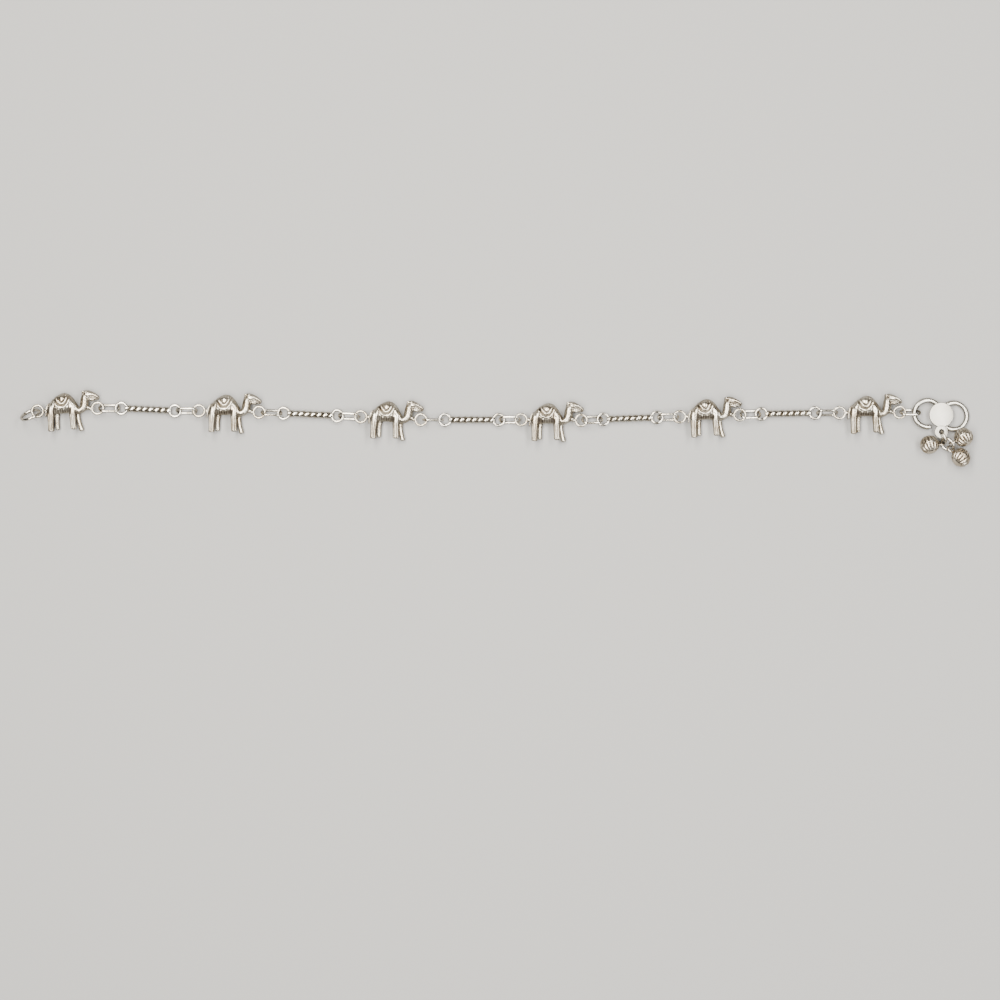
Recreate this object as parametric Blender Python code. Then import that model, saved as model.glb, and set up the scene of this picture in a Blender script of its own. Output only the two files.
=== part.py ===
"""A payal anklet laid out straight on a flat surface, in metres with +Z up.

Six cast silver camels and five twisted bars make its chain. Each has an eyelet soldered to both
ends, and an oval link joins it to the next. One end has a plain end ring. The other has an S clasp
with a disc on it, and a tab below the disc that carries three bells on two rings.
The chain runs along X with the camels' backs towards +Y, and the pieces lie on Z = 0 about the
middle of their outline."""

import math

import bmesh
import bpy
from mathutils import Matrix, Vector

MM = 0.001

# Play left between two wires that bear on each other
PLAY = 0.1 * MM

# Eyelets, the flat wire rings at both ends of a camel or a bar
EYELET_OUTER = 3.8 * MM
EYELET_WIRE = 0.66 * MM

# Oval links
LINK_LENGTH = 6.2 * MM
LINK_WIDTH = 3.4 * MM
LINK_WIRE = 0.65 * MM
# A link that leans this far over carries a bar's eyelet at its own middle
BAR_LEAN = math.radians(45)
# How far a link hangs below a higher eyelet, as a share of the play of its legs
LINK_SAG = 0.3

# Plain ring at the open end of the chain
END_RING_OUTER = 6.0 * MM
END_RING_WIRE = 0.8 * MM
END_RING_TILT = math.radians(63)
END_RING_HEADING = math.radians(20)

# Twisted bars, two round strands laid together
BAR_SPAN = 15.0 * MM
BAR_DIAMETER = 1.95 * MM
BAR_PITCH = 3.4 * MM
# The waist between the two strands: how far out and how far up, as shares of the bar's radius
BAR_WAIST = (0.62, 0.5)

# Camels, between the centres of their eyelets and from hoof to hump
CAMEL_SPAN = 16.8 * MM
CAMEL_HEIGHT = 11.2 * MM
CAMEL_THICKNESS = 4.2 * MM
SOLDER_HEIGHT = 1.1 * MM
# Where the solder at both eyelets ends inside the body, as shares of CAMEL_SPAN
RUMP = 0.235
THROAT = 0.80
# How much thinner the trunk and the saddle cloth are at the top, as shares of their thickness
TRUNK_NARROWING = 0.35
CLOTH_NARROWING = 0.2

# S clasp
CLASP_RING_OUTER = 8.8 * MM
CLASP_WIRE = 1.35 * MM
CLASP_LEFT_SWEEP = math.radians(286)
CLASP_RIGHT_SWEEP = math.radians(302)
DISC_DIAMETER = 6.8 * MM
DISC_THICKNESS = 0.7 * MM
DISC_SUNK = 0.15 * MM
TAB_OUTER = 3.8 * MM
TAB_HOLE = 1.5 * MM
TAB_SUNK = 0.55 * MM
TAB_HEADING = math.radians(-84.6)

# The ring through the tab, and the ring that carries the bells
TAB_RING_OUTER = 3.9 * MM
TAB_RING_WIRE = 0.6 * MM
TAB_RING_HEADING = math.radians(-70)
BELL_RING_OUTER = 4.4 * MM
BELL_RING_WIRE = 0.7 * MM
BELL_RING_HEADING = math.radians(-50)
BELL_RING_TILT = math.radians(50)
BELL_RING_HANGS_AT = math.radians(165)
BELL_RING_SLACK = 0.35 * MM

# Bells, two fluted shells joined at a flange
BELL_DIAMETER = 5.5 * MM
BELL_FLANGE = 0.3 * MM
BELL_RIDGES = 12
BELL_RIDGE_DEPTH = 0.3 * MM
BELL_LOOP_OUTER = 2.5 * MM
BELL_LOOP_WIRE = 0.5 * MM
BELL_LOOP_SUNK = 0.4 * MM

# How finely the round shapes are cut
RING_SIDES = 12
WIRE_SIDES = 5
TAB_SIDES = 6
LIMB_SIDES = 6
BODY_SIDES = 8
TRUNK_SIDES = 10
ARC_STEP = math.radians(26)
ROPE_STATIONS = 6
DISC_SIDES = 24
SEAT_STEPS = 30
FLAT_ANGLE = math.radians(2)
SHARP_ANGLE = math.radians(40)
WELD = 0.0001 * MM

# The camel's sections. Lengths along it are shares of CAMEL_SPAN from the tail eyelet, heights
# are shares of CAMEL_HEIGHT from the line between the eyelets, and thicknesses are shares of half
# of CAMEL_THICKNESS from its middle plane.
TRUNK = (
    # along, belly, back, thick
    (0.195, -0.02, 0.09, 0.45),
    (0.222, -0.09, 0.18, 0.72),
    (0.283, -0.11, 0.30, 0.86),
    (0.367, -0.10, 0.39, 0.90),
    (0.450, -0.09, 0.43, 0.90),
    (0.540, -0.09, 0.38, 0.90),
    (0.620, -0.11, 0.22, 0.86),
    (0.700, -0.13, 0.05, 0.76),
    (0.765, -0.11, 0.01, 0.52),
)
SADDLE_CLOTH = (
    (0.315, 0.13, 0.36, 0.95),
    (0.380, 0.045, 0.41, 0.95),
    (0.520, 0.04, 0.41, 0.95),
    (0.570, 0.10, 0.33, 0.95),
)
SADDLE_PAD = (
    (0.345, 0.20, 0.40, 1.0),
    (0.400, 0.12, 0.43, 1.0),
    (0.510, 0.11, 0.43, 1.0),
    (0.548, 0.18, 0.39, 1.0),
)
# along, height, reach across, thick, middle of the thickness
NECK = (
    (0.690, -0.055, 0.080, 0.70, 0),
    (0.760, -0.040, 0.085, 0.66, 0),
    (0.800, 0.060, 0.088, 0.57, 0),
    (0.804, 0.240, 0.100, 0.52, 0),
    (0.822, 0.380, 0.080, 0.48, 0),
)
HEAD = (
    (0.768, 0.345, 0.050, 0.36, 0),
    (0.805, 0.360, 0.090, 0.57, 0),
    (0.860, 0.346, 0.094, 0.58, 0),
    (0.940, 0.298, 0.070, 0.44, 0),
    (1.030, 0.252, 0.046, 0.32, 0),
)
EAR = (
    (0.790, 0.390, 0.036, 0.18, 0.42),
    (0.762, 0.462, 0.014, 0.08, 0.46),
)
HIND_LEG = (
    (0.250, 0.020, 0.110, 0.40, 0.44),
    (0.243, -0.140, 0.108, 0.44, 0.44),
    (0.236, -0.330, 0.072, 0.38, 0.46),
    (0.240, -0.535, 0.080, 0.42, 0.48),
)
FAR_HIND_LEG = (
    (0.322, 0.000, 0.080, 0.40, -0.44),
    (0.318, -0.250, 0.056, 0.38, -0.46),
    (0.322, -0.495, 0.066, 0.42, -0.48),
)
FORE_LEG = (
    (0.610, -0.020, 0.110, 0.40, 0.44),
    (0.604, -0.280, 0.078, 0.38, 0.46),
    (0.604, -0.510, 0.084, 0.42, 0.48),
)
FAR_FORE_LEG = (
    (0.668, -0.060, 0.090, 0.40, -0.44),
    (0.688, -0.290, 0.058, 0.38, -0.46),
    (0.712, -0.545, 0.068, 0.42, -0.48),
)
TAIL = (
    (0.205, 0.100, 0.040, 0.22, 0),
    (0.164, 0.080, 0.036, 0.24, 0),
    (0.156, -0.060, 0.040, 0.26, 0),
    (0.160, -0.200, 0.014, 0.14, 0),
)

# Half of a bell, from flange to pole: distance out as a share of its radius, distance up as a share
# of its radius, and how much of the ridge depth shows there.
BELL_HALF = (
    (0.920, 0.055, 0.0),
    (0.860, 0.420, 1.0),
    (0.560, 0.760, 0.3),
    (0.400, 0.830, 0.0),
    (0.120, 0.920, 0.0),
)

# The route of the chain, chosen by hand. Headings are in degrees. Roll is a share of the most that
# a link can lean over between the eyelets, and slack is a share of the play that its ends have.
ROUTE = (
    # piece, heading, roll, slack
    ("camel_1", 2.8, 0, 0),
    ("oval_link_1", 0.0, 0.70, 0.15),
    ("twist_bar_1", -2.7, 0, 0),
    ("oval_link_2", 0.0, -0.45, 0.05),
    ("camel_2", -1.4, 0, 0),
    ("oval_link_3", -2.3, 0.50, 0.05),
    ("twist_bar_2", -2.7, 0, 0),
    ("oval_link_4", -2.4, -0.55, 0.15),
    ("camel_3", -2.9, 0, 0),
    ("oval_link_5", 0.0, 0.05, 0.15),
    ("twist_bar_3", 0.0, 0, 0),
    ("oval_link_6", 0.0, -0.60, 0.35),
    ("camel_4", -0.5, 0, 0),
    ("oval_link_7", 2.5, 0.70, 0.35),
    ("twist_bar_4", 2.1, 0, 0),
    ("oval_link_8", 1.2, -0.60, 0.30),
    ("camel_5", 1.9, 0, 0),
    ("oval_link_9", 2.6, 0.80, 0.30),
    ("twist_bar_5", 1.1, 0, 0),
    ("oval_link_10", 0.0, -0.45, 0.10),
    ("camel_6", 0.5, 0, 0),
    ("clasp_link", 0.0, 0.50, 0.60),
    ("s_clasp", -5.4, 0, 0),
)
# The bells, with angles in degrees: place on their ring, heading from the ring, turn of the seam
# about the loop, and how far each is pulled out as a share of the play of its loop
BELLS = (
    ("bell_1", 230, 187, -42, 0.9),
    ("bell_2", 78, 24, 60, 0.6),
    ("bell_3", 0, -42, 20, -0.6),
)

CAST_SILVER = ("cast silver", (0.62, 0.58, 0.51), 0.34)
WIRE_SILVER = ("wire silver", (0.80, 0.78, 0.72), 0.22)
SATIN_SILVER = ("satin silver", (0.76, 0.74, 0.69), 0.42)
BELL_SILVER = ("bell silver", (0.64, 0.57, 0.47), 0.36)

LINK_REACH = LINK_LENGTH - LINK_WIRE
LINK_HALF_WIDTH = (LINK_WIDTH - LINK_WIRE) / 2
LINK_CLEAR = (EYELET_WIRE + LINK_WIRE) / 2 + PLAY
EYELET_RADIUS = (EYELET_OUTER - EYELET_WIRE) / 2
EYELET_SEAT = EYELET_RADIUS - LINK_CLEAR
CLASP_SEAT = -(CLASP_WIRE + LINK_WIRE) / 2 - PLAY
CLASP_RADIUS = (CLASP_RING_OUTER - CLASP_WIRE) / 2
TAB_DISTANCE = (DISC_DIAMETER + TAB_OUTER) / 2 - TAB_SUNK
TAB_LEVEL = (CLASP_WIRE + DISC_THICKNESS) / 2 - DISC_SUNK
BELL_REACH = (BELL_DIAMETER + BELL_LOOP_OUTER) / 2 - BELL_LOOP_SUNK
BELL_LOOP_PLAY = (BELL_LOOP_OUTER - BELL_RING_WIRE) / 2 - BELL_LOOP_WIRE - PLAY

CAMEL_LEVEL = CAMEL_THICKNESS / 2
BAR_LEVEL = LINK_WIRE / 2 + LINK_HALF_WIDTH * math.cos(BAR_LEAN)


def clear_scene():
    for item in list(bpy.data.objects):
        bpy.data.objects.remove(item, do_unlink=True)


def new_collection(name):
    collection = bpy.data.collections.new(name)
    bpy.context.scene.collection.children.link(collection)
    return collection


def metal(finish):
    name, colour, roughness = finish
    found = bpy.data.materials.get(name)
    if found:
        return found
    made = bpy.data.materials.new(name)
    made.use_nodes = True
    shader = made.node_tree.nodes["Principled BSDF"]
    shader.inputs["Base Color"].default_value = (*colour, 1)
    shader.inputs["Roughness"].default_value = roughness
    shader.inputs["Metallic"].default_value = 1
    return made


def object_of(mesh, name):
    """An object in the scene's own collection, where the shapes stay until they are fused."""
    made = bpy.data.objects.new(name, mesh)
    bpy.context.scene.collection.objects.link(made)
    return made


def mesh_of(shape):
    """The evaluated mesh of an object, with its place applied and its seams welded."""
    graph = bpy.context.evaluated_depsgraph_get()
    mesh = bpy.data.meshes.new_from_object(shape.evaluated_get(graph))
    mesh.transform(shape.matrix_world)
    work = bmesh.new()
    work.from_mesh(mesh)
    bmesh.ops.remove_doubles(work, verts=work.verts, dist=WELD)
    work.to_mesh(mesh)
    work.free()
    return mesh


def fused(name, shapes):
    """One mesh from shapes that overlap, which are removed."""
    body = shapes[0]
    for other in shapes[1:]:
        join = body.modifiers.new(other.name, "BOOLEAN")
        join.operation = "UNION"
        join.object = other
    flats = body.modifiers.new("flats", "DECIMATE")
    flats.decimate_type = "DISSOLVE"
    flats.angle_limit = FLAT_ANGLE
    bpy.context.view_layer.update()
    mesh = mesh_of(body)
    mesh.name = name
    for shape in shapes:
        bpy.data.objects.remove(shape, do_unlink=True)
    return mesh


def lofted(rings, name):
    """A closed skin through rings of points, with flat ends."""
    work = bmesh.new()
    loops = [[work.verts.new(point) for point in ring] for ring in rings]
    for first, second in zip(loops, loops[1:]):
        for side, corner in enumerate(first):
            after = (side + 1) % len(first)
            work.faces.new((corner, first[after], second[after], second[side]))
    work.faces.new(reversed(loops[0]))
    work.faces.new(loops[-1])
    bmesh.ops.recalc_face_normals(work, faces=work.faces)
    mesh = bpy.data.meshes.new(name)
    work.to_mesh(mesh)
    work.free()
    return object_of(mesh, name)


def wire_ring(outer, wire, name, middle=(0, 0, 0)):
    bpy.ops.mesh.primitive_torus_add(
        major_radius=(outer - wire) / 2,
        minor_radius=wire / 2,
        major_segments=RING_SIDES,
        minor_segments=WIRE_SIDES,
        location=middle,
    )
    made = bpy.context.object
    made.name = name
    return made


def wire_along(points, diameter, closed, roundness, name):
    """A round wire along points. Its sides number four more than twice its roundness."""
    curve = bpy.data.curves.new(name, "CURVE")
    curve.dimensions = "3D"
    curve.bevel_depth = diameter / 2
    curve.bevel_resolution = roundness
    curve.use_fill_caps = not closed
    spline = curve.splines.new("POLY")
    spline.points.add(len(points) - 1)
    for point, place in zip(spline.points, points):
        point.co = (*place, 1)
    spline.use_cyclic_u = closed
    guide = object_of(curve, name)
    bpy.context.view_layer.update()
    mesh = mesh_of(guide)
    bpy.data.objects.remove(guide, do_unlink=True)
    return object_of(mesh, name)


def round_stub(start, end, name):
    """A short oval bridge of solder between two places along the middle of a camel."""
    high, deep = SOLDER_HEIGHT / 2, EYELET_WIRE / 2
    turns = [math.tau * (side + 0.5) / BODY_SIDES for side in range(BODY_SIDES)]
    rings = [[(along, high * math.cos(a), deep * math.sin(a)) for a in turns] for along in (start, end)]
    return lofted(rings, name)


def camel_section(middle, across, reach, thick, depth, sides, narrowing=0):
    """A ring of points about middle: reach along the vector across, and thick in depth from depth.

    Its two faces in depth are flat. Narrowing thins it towards the far end of across."""
    ring = []
    flat = 1 / math.cos(math.pi / sides)
    first = 0.5 if sides % 4 == 0 else 0
    for side in range(sides):
        angle = math.tau * (side + first) / sides
        out = math.cos(angle)
        place = middle + across * (reach * out)
        thinned = 1 - narrowing * max(out, 0) ** 2
        ring.append((place.x, place.y, depth + thick * flat * math.sin(angle) * thinned))
    return ring


def upright_loft(rows, sides, narrowing, name):
    """A body of the camel from sections that stand upright."""
    half = CAMEL_THICKNESS / 2
    rings = []
    for along, low, high, thick in rows:
        middle = Vector((along * CAMEL_SPAN, (low + high) / 2 * CAMEL_HEIGHT))
        reach = (high - low) / 2 * CAMEL_HEIGHT
        rings.append(camel_section(middle, Vector((0, 1)), reach, thick * half, 0, sides, narrowing))
    return lofted(rings, name)


def limb_loft(rows, sides, name, side_of_body=1):
    """A limb of the camel, with its sections square to its run."""
    half = CAMEL_THICKNESS / 2
    middles = [Vector((row[0] * CAMEL_SPAN, row[1] * CAMEL_HEIGHT)) for row in rows]
    rings = []
    for place, (row, middle) in enumerate(zip(rows, middles)):
        before = middles[max(place - 1, 0)]
        after = middles[min(place + 1, len(rows) - 1)]
        run = (after - before).normalized()
        across = Vector((run.y, -run.x))
        reach, thick, depth = row[2] * CAMEL_HEIGHT, row[3] * half, row[4] * half * side_of_body
        rings.append(camel_section(middle, across, reach, thick, depth, sides))
    return lofted(rings, name)


def camel_mesh():
    """A camel from its tail eyelet, at the origin, to its front eyelet."""
    tail_side = EYELET_OUTER / 2 - EYELET_WIRE / 2
    shapes = [
        upright_loft(TRUNK, TRUNK_SIDES, TRUNK_NARROWING, "trunk"),
        upright_loft(SADDLE_CLOTH, BODY_SIDES, CLOTH_NARROWING, "saddle cloth"),
        upright_loft(SADDLE_PAD, BODY_SIDES, 0, "saddle pad"),
        limb_loft(NECK, BODY_SIDES, "neck"),
        limb_loft(HEAD, BODY_SIDES, "head"),
        limb_loft(EAR, 4, "near ear"),
        limb_loft(EAR, 4, "far ear", side_of_body=-1),
        limb_loft(HIND_LEG, LIMB_SIDES, "near hind leg"),
        limb_loft(FAR_HIND_LEG, LIMB_SIDES, "far hind leg"),
        limb_loft(FORE_LEG, LIMB_SIDES, "near foreleg"),
        limb_loft(FAR_FORE_LEG, LIMB_SIDES, "far foreleg"),
        limb_loft(TAIL, 4, "tail"),
        round_stub(tail_side, RUMP * CAMEL_SPAN, "tail solder"),
        round_stub(THROAT * CAMEL_SPAN, CAMEL_SPAN - tail_side, "front solder"),
        wire_ring(EYELET_OUTER, EYELET_WIRE, "tail eyelet"),
        wire_ring(EYELET_OUTER, EYELET_WIRE, "front eyelet", (CAMEL_SPAN, 0, 0)),
    ]
    return fused("camel", shapes)


def rope_section(along, angle):
    """Two round strands side by side, turned to their place along the rope."""
    radius = BAR_DIAMETER / 2
    out, up = BAR_WAIST
    outline = ((1, 0), (out, up), (-out, up), (-1, 0), (-out, -up), (out, -up))
    cosine, sine = math.cos(angle), math.sin(angle)
    return [
        (along, radius * (y * cosine - z * sine), radius * (y * sine + z * cosine))
        for y, z in outline
    ]


def bar_mesh():
    """A twisted bar from one eyelet, at the origin, to the other."""
    start = EYELET_OUTER / 2 - EYELET_WIRE / 2
    length = BAR_SPAN - 2 * start
    steps = round(ROPE_STATIONS * length / BAR_PITCH)
    rings = []
    for step in range(steps + 1):
        gone = length * step / steps
        rings.append(rope_section(start + gone, math.tau * gone / BAR_PITCH))
    shapes = [
        lofted(rings, "rope"),
        wire_ring(EYELET_OUTER, EYELET_WIRE, "first eyelet"),
        wire_ring(EYELET_OUTER, EYELET_WIRE, "second eyelet", (BAR_SPAN, 0, 0)),
    ]
    return fused("twist bar", shapes)


def link_mesh():
    """An oval link about the origin, along X, with its width along Y."""
    straight = (LINK_LENGTH - LINK_WIDTH) / 2
    steps = RING_SIDES // 2
    points = []
    for end in (1, -1):
        for step in range(steps + 1):
            angle = math.pi * (step / steps - 0.5)
            out = straight + LINK_HALF_WIDTH * math.cos(angle)
            points.append((end * out, end * LINK_HALF_WIDTH * math.sin(angle), 0))
    shape = wire_along(points, LINK_WIRE, True, 1, "oval link")
    mesh = shape.data
    bpy.data.objects.remove(shape, do_unlink=True)
    return mesh


def ring_mesh(outer, wire, name):
    shape = wire_ring(outer, wire, name)
    mesh = mesh_of(shape)
    mesh.name = name
    bpy.data.objects.remove(shape, do_unlink=True)
    return mesh


def arc(middle, radius, start, sweep):
    steps = max(2, round(abs(sweep) / ARC_STEP))
    turns = [start + sweep * step / steps for step in range(steps + 1)]
    return [(middle + radius * math.cos(a), radius * math.sin(a), 0) for a in turns]


def flat_disc(diameter, place, name):
    bpy.ops.mesh.primitive_cylinder_add(
        vertices=DISC_SIDES,
        radius=diameter / 2,
        depth=DISC_THICKNESS,
        location=place,
    )
    made = bpy.context.object
    made.name = name
    return made


def tab_place():
    """The middle of the tab's hole on the clasp as it is modelled, wire level at Z = 0."""
    return Vector((TAB_DISTANCE * math.cos(TAB_HEADING), TAB_DISTANCE * math.sin(TAB_HEADING), TAB_LEVEL))


def clasp_mesh():
    """The S clasp about the middle of its disc, its wire level at Z = 0.

    The wire runs clockwise round the left ring and then anticlockwise round the right one."""
    left = arc(-CLASP_RADIUS, CLASP_RADIUS, CLASP_LEFT_SWEEP, -CLASP_LEFT_SWEEP)
    right = arc(CLASP_RADIUS, CLASP_RADIUS, math.pi, CLASP_RIGHT_SWEEP)
    wire = wire_along(left + right[1:], CLASP_WIRE, False, 2, "s wire")
    disc = flat_disc(DISC_DIAMETER, (0, 0, TAB_LEVEL), "disc")
    bpy.ops.mesh.primitive_torus_add(
        major_radius=(TAB_OUTER + TAB_HOLE) / 4,
        minor_radius=(TAB_OUTER - TAB_HOLE) / 4,
        major_segments=RING_SIDES,
        minor_segments=TAB_SIDES,
        location=tab_place(),
    )
    tab = bpy.context.object
    tab.scale.z = DISC_THICKNESS / ((TAB_OUTER - TAB_HOLE) / 2)
    bpy.context.view_layer.update()
    return fused("s clasp", [wire, disc, tab])


def bell_mesh(turn):
    """A bell with the middle of its loop at the origin and its body towards +X.

    The loop lies in the XZ plane. Turn is the angle of the bell's pole from Z, about X."""
    radius = BELL_DIAMETER / 2
    sides = 2 * BELL_RIDGES

    def row(out, up, ridge):
        points = []
        for side in range(sides):
            angle = math.tau * side / sides
            across = out * radius - side % 2 * ridge * BELL_RIDGE_DEPTH
            points.append((across * math.cos(angle), across * math.sin(angle), up))
        return points

    upper = [row(out, up * radius, ridge) for out, up, ridge in BELL_HALF]
    flange = [row(1, -BELL_FLANGE / 2, 0), row(1, BELL_FLANGE / 2, 0)]
    lower = [[(x, y, -z) for x, y, z in ring] for ring in reversed(upper)]
    shell = lofted(lower + flange + upper, "shell")
    shell.matrix_world = Matrix.Translation((BELL_REACH, 0, 0)) @ Matrix.Rotation(turn, 4, "X")
    loop = wire_ring(BELL_LOOP_OUTER, BELL_LOOP_WIRE, "loop")
    loop.matrix_world = Matrix.Rotation(math.radians(90), 4, "X")
    return fused("bell", [shell, loop])


def put(name, mesh, finish, place, collection):
    """Puts a piece of the anklet at its place."""
    made = bpy.data.objects.new(name, mesh)
    collection.objects.link(made)
    made.matrix_world = place
    if not mesh.materials:
        mesh.materials.append(metal(finish))
        mesh.shade_smooth()
        mesh.set_sharp_from_angle(angle=SHARP_ANGLE)
    return made


def axes(place, along, normal):
    """The matrix of a piece at place whose X runs along a direction and whose Y is nearest normal."""
    first = along.normalized()
    second = (normal - normal.dot(first) * first).normalized()
    turn = Matrix((first, second, first.cross(second))).transposed()
    return Matrix.Translation(place) @ turn.to_4x4()


def flat_direction(heading):
    return Vector((math.cos(heading), math.sin(heading), 0))


def link_level(carrier, lean):
    """The height of a link's middle line where it passes through a ring at the height of carrier.

    The link rests on the table, or hangs a little below a ring that is higher."""
    upright = LINK_HALF_WIDTH * math.cos(lean)
    return max(upright + LINK_WIRE / 2, carrier - LINK_SAG * (upright - LINK_CLEAR))


def link_gap(seat, lean, rise):
    """The least distance between the middle lines of a link's end and of an eyelet.

    Seat is how far before the eyelet's middle the link ends, and rise how far above it."""
    least = LINK_LENGTH
    for step in range(-SEAT_STEPS, SEAT_STEPS + 1):
        angle = math.pi / 2 * step / SEAT_STEPS
        along = seat + LINK_HALF_WIDTH * (1 - math.cos(angle))
        aside = LINK_HALF_WIDTH * math.sin(angle) * math.sin(lean)
        above = rise + LINK_HALF_WIDTH * math.sin(angle) * math.cos(lean)
        least = min(least, math.hypot(math.hypot(along, aside) - EYELET_RADIUS, above))
    return least


def link_seat(carrier, lean):
    """How far before the middle of an eyelet a taut link ends: as far out as its wires clear."""
    rise = link_level(carrier, lean) - carrier
    for step in range(2 * SEAT_STEPS):
        seat = EYELET_SEAT * (1 - step / SEAT_STEPS)
        if link_gap(seat, lean, rise) >= LINK_CLEAR:
            return seat
    return -EYELET_SEAT


def chain_kind(name):
    return name.rstrip("0123456789").rstrip("_")


def lay_chain(collection):
    """Lays the chain along ROUTE from the tail eyelet of the first camel, and returns the clasp."""
    meshes = {"camel": camel_mesh(), "twist_bar": bar_mesh(), "s_clasp": clasp_mesh()}
    finishes = {"camel": CAST_SILVER, "twist_bar": WIRE_SILVER, "s_clasp": SATIN_SILVER}
    spans = {"camel": CAMEL_SPAN, "twist_bar": BAR_SPAN, "s_clasp": 0}
    levels = {
        "camel": CAMEL_LEVEL,
        "twist_bar": BAR_LEVEL,
        "s_clasp": LINK_WIRE + 2 * PLAY + CLASP_WIRE / 2,
    }
    oval = link_mesh()
    most_lean = math.acos(min(1, LINK_CLEAR / LINK_HALF_WIDTH))
    at = Vector((0, 0, 0))
    for place, (name, degrees, roll, slack) in enumerate(ROUTE):
        heading = flat_direction(math.radians(degrees))
        kind = chain_kind(name)
        if kind not in meshes:
            before = chain_kind(ROUTE[place - 1][0])
            after = chain_kind(ROUTE[place + 1][0])
            lean = roll * most_lean
            first = link_level(levels[before], lean)
            last = link_level(levels[after], lean)
            reach = math.sqrt(LINK_REACH**2 - (last - first) ** 2)
            give = slack * EYELET_SEAT
            seat = link_seat(levels[before], lean) - give
            far_seat = CLASP_SEAT if after == "s_clasp" else link_seat(levels[after], lean)
            start = at + heading * seat
            end = start + heading * reach
            start.z, end.z = first, last
            along = end - start
            upright = Matrix.Rotation(lean, 3, along.normalized()) @ Vector((0, 0, 1))
            put(name, oval, WIRE_SILVER, axes((start + end) / 2, along, upright), collection)
            at = at + heading * (seat + reach + far_seat - give)
            continue
        turn = Matrix.Rotation(math.radians(degrees), 4, "Z")
        where = Matrix.Translation((at.x, at.y, levels[kind])) @ turn
        if kind == "s_clasp":
            lean = math.asin((levels[kind] - CLASP_WIRE / 2) / (4 * CLASP_RADIUS))
            inward = Matrix.Translation((2 * CLASP_RADIUS, 0, 0))
            where = where @ Matrix.Rotation(lean, 4, "Y") @ inward
        put(name, meshes[kind], finishes[kind], where, collection)
        at = at + heading * spans[kind]
    return where


def lay_end_ring(collection):
    """The end ring leans in the tail eyelet of the first camel, its lower leg under the eyelet."""
    radius = (END_RING_OUTER - END_RING_WIRE) / 2
    free = EYELET_OUTER / 2 - EYELET_WIRE - END_RING_WIRE / 2 - PLAY
    along = flat_direction(END_RING_HEADING)
    across = flat_direction(END_RING_HEADING + math.pi / 2)
    down = across * math.cos(END_RING_TILT) - Vector((0, 0, 1)) * math.sin(END_RING_TILT)
    level = radius * math.sin(END_RING_TILT) + END_RING_WIRE / 2
    crossing = math.asin((level - CAMEL_LEVEL) / (radius * math.sin(END_RING_TILT)))
    on_ring = radius * (math.cos(crossing) * along + math.sin(crossing) * down)
    middle = along * free / 2 - on_ring
    middle.z = level
    mesh = ring_mesh(END_RING_OUTER, END_RING_WIRE, "end ring")
    put("end_ring", mesh, WIRE_SILVER, axes(middle, along, down), collection)


def lay_bells(clasp, collection):
    """The ring through the tab, the ring below it, and the bells on that."""
    tab = clasp @ tab_place()
    radius = (BELL_RING_OUTER - BELL_RING_WIRE) / 2
    along = flat_direction(BELL_RING_HEADING)
    across = flat_direction(BELL_RING_HEADING + math.pi / 2)
    rising = across * math.cos(BELL_RING_TILT) + Vector((0, 0, 1)) * math.sin(BELL_RING_TILT)

    def on_ring(angle):
        return radius * (math.cos(angle) * along + math.sin(angle) * rising)

    lowest = min(on_ring(math.radians(bell[1])).z for bell in BELLS)
    level = BELL_LOOP_OUTER / 2 + PLAY - lowest
    hook = on_ring(BELL_RING_HANGS_AT)
    tab_radius = (TAB_RING_OUTER - TAB_RING_WIRE) / 2
    reach = 2 * tab_radius - (TAB_RING_WIRE + BELL_RING_WIRE) / 2 - PLAY - BELL_RING_SLACK
    rise = level + hook.z - tab.z
    outward = flat_direction(TAB_RING_HEADING) * math.sqrt(reach**2 - rise**2)
    outward.z = rise
    middle = tab + outward - hook
    put(
        "tab_ring",
        ring_mesh(TAB_RING_OUTER, TAB_RING_WIRE, "tab ring"),
        WIRE_SILVER,
        axes(tab + outward.normalized() * tab_radius, outward, Vector((0, 0, 1))),
        collection,
    )
    put(
        "bell_ring",
        ring_mesh(BELL_RING_OUTER, BELL_RING_WIRE, "bell ring"),
        WIRE_SILVER,
        axes(middle, along, rising),
        collection,
    )
    for name, degrees, heading, seam, pull in BELLS:
        angle = math.radians(degrees)
        hold = middle + on_ring(angle)
        tangent = on_ring(angle + math.pi / 2)
        reach = BELL_REACH + pull * BELL_LOOP_PLAY
        rise = BELL_DIAMETER / 2 - hold.z
        out = flat_direction(math.radians(heading)) * math.sqrt(reach**2 - rise**2)
        out.z = rise
        loop = hold + out.normalized() * pull * BELL_LOOP_PLAY
        mesh = bell_mesh(math.radians(seam))
        put(name, mesh, BELL_SILVER, axes(loop, out, tangent), collection)


def centre(collection):
    """Moves the pieces together so that their outline is about the middle of X and Y."""
    bpy.context.view_layer.update()
    corners = [
        piece.matrix_world @ vertex.co
        for piece in collection.objects
        for vertex in piece.data.vertices
    ]
    middle = Vector((0, 0, 0))
    for axis in (0, 1):
        places = [corner[axis] for corner in corners]
        middle[axis] = (min(places) + max(places)) / 2
    for piece in collection.objects:
        piece.location -= middle


def build():
    clear_scene()
    anklet = new_collection("payal_anklet")
    lay_end_ring(anklet)
    clasp = lay_chain(anklet)
    lay_bells(clasp, anklet)
    centre(anklet)


build()
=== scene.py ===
"""The looks of a camel payal anklet: cast and oxidised silver camels, twisted bars, wire links, an S
clasp with a satin disc, and three ridged bells. It lies straight on a pale table, seen from above.
Lengths are in metres."""

import math

import bpy
import numpy as np
from mathutils import Matrix, Vector


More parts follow.
